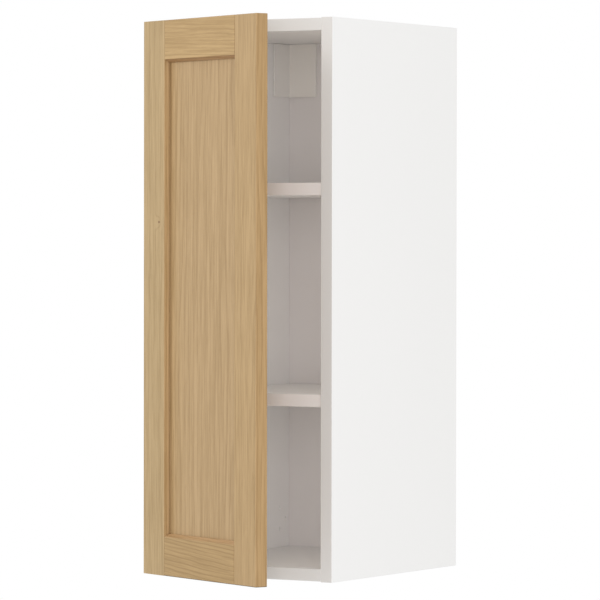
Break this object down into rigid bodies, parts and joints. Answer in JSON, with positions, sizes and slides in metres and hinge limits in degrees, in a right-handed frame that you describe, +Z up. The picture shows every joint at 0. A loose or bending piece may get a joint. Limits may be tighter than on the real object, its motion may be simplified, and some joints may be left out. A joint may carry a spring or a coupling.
{
  "type": "hanging wall cabinet",
  "caption": "Tall narrow hanging wall cabinet: white board carcass, inner shelves on pins, and a framed oak door on concealed hinges.",
  "frame": {"origin": "centre of the bottom board's underside", "axes": "+Z up, +Y towards the wall, +X to the right seen from the front, so the door is at -Y and its hinges are at -X"},
  "size_m": [0.3039, 0.517, 0.8],
  "materials": {
    "white_board": "white melamine foil on particleboard, satin",
    "white_hardboard": "white painted hardboard, matt",
    "beech": "plain fluted beech dowel",
    "oak": "clear lacquered oak, satin, open grain",
    "nickel_plated": "nickel plated",
    "zinc_plated_steel": "bright zinc plated",
    "white_plastic": "moulded, fine matt",
    "clear_silicone": "cloudy clear silicone"
  },
  "bodies": {
    "root": {"arm_screw_lower": "zinc_plated_steel", "arm_screw_upper": "zinc_plated_steel", "back_panel": "white_hardboard", "bottom_panel": "white_board", "bracket_cover_left": "white_plastic", "bracket_cover_right": "white_plastic", "bracket_screw_left_high": "zinc_plated_steel", "bracket_screw_left_low": "zinc_plated_steel", "bracket_screw_right_high": "zinc_plated_steel", "bracket_screw_right_low": "zinc_plated_steel", "dowel_bottom_front_left": "beech", "dowel_bottom_front_right": "beech", "dowel_bottom_rear_left": "beech", "dowel_bottom_rear_right": "beech", "dowel_top_front_left": "beech", "dowel_top_front_right": "beech", "dowel_top_rear_left": "beech", "dowel_top_rear_right": "beech", "hanging_bolt_left": "zinc_plated_steel", "hanging_bolt_right": "zinc_plated_steel", "hanging_bracket_left": "zinc_plated_steel", "hanging_bracket_right": "zinc_plated_steel", "hinge_arm_lower": "nickel_plated", "hinge_arm_upper": "nickel_plated", "hinge_plate_lower": "nickel_plated", "hinge_plate_upper": "nickel_plated", "plate_screw_lower_high": "zinc_plated_steel", "plate_screw_lower_low": "zinc_plated_steel", "plate_screw_upper_high": "zinc_plated_steel", "plate_screw_upper_low": "zinc_plated_steel", "shelf_lower": "white_board", "shelf_pin_lower_left_front": "zinc_plated_steel", "shelf_pin_lower_left_rear": "zinc_plated_steel", "shelf_pin_lower_right_front": "zinc_plated_steel", "shelf_pin_lower_right_rear": "zinc_plated_steel", "shelf_pin_upper_left_front": "zinc_plated_steel", "shelf_pin_upper_left_rear": "zinc_plated_steel", "shelf_pin_upper_right_front": "zinc_plated_steel", "shelf_pin_upper_right_rear": "zinc_plated_steel", "shelf_upper": "white_board", "side_panel_left": "white_board", "side_panel_right": "white_board", "top_panel": "white_board"},
    "door": {"cup_screw_lower_high": "zinc_plated_steel", "cup_screw_lower_low": "zinc_plated_steel", "cup_screw_upper_high": "zinc_plated_steel", "cup_screw_upper_low": "zinc_plated_steel", "door_bumper_high": "clear_silicone", "door_bumper_low": "clear_silicone", "door_panel": "oak", "door_rail_bottom": "oak", "door_rail_top": "oak", "door_stile_free": "oak", "door_stile_hinge": "oak", "hinge_cup_lower": "nickel_plated", "hinge_cup_upper": "nickel_plated"},
    "outer_links": {"hinge_link_outer_lower": "zinc_plated_steel", "hinge_link_outer_upper": "zinc_plated_steel"},
    "inner_links": {"hinge_link_inner_lower": "zinc_plated_steel", "hinge_link_inner_upper": "zinc_plated_steel"}
  },
  "joints": [
    {"name": "door_swing", "type": "hinge", "parent": "root", "child": "door", "pos_m": [-0.1442, -0.1925, 0.4], "axis": [0, 0, -1], "range_deg": [-25.8, 84.2]},
    {"name": "outer_link_swing", "type": "hinge", "parent": "door", "child": "outer_links", "pos_m": [-0.13797, -0.19385, 0.4], "axis": [0, 0, -1], "range_deg": [-84.2, 25.8]},
    {"name": "inner_link_swing", "type": "hinge", "parent": "door", "child": "inner_links", "pos_m": [-0.14003, -0.19651, 0.4], "axis": [0, 0, -1], "range_deg": [-84.2, 25.8]}
  ],
  "couplings": [
    {"joint": "outer_link_swing", "follows": "door_swing", "ratio": -1},
    {"joint": "inner_link_swing", "follows": "door_swing", "ratio": -1}
  ]
}
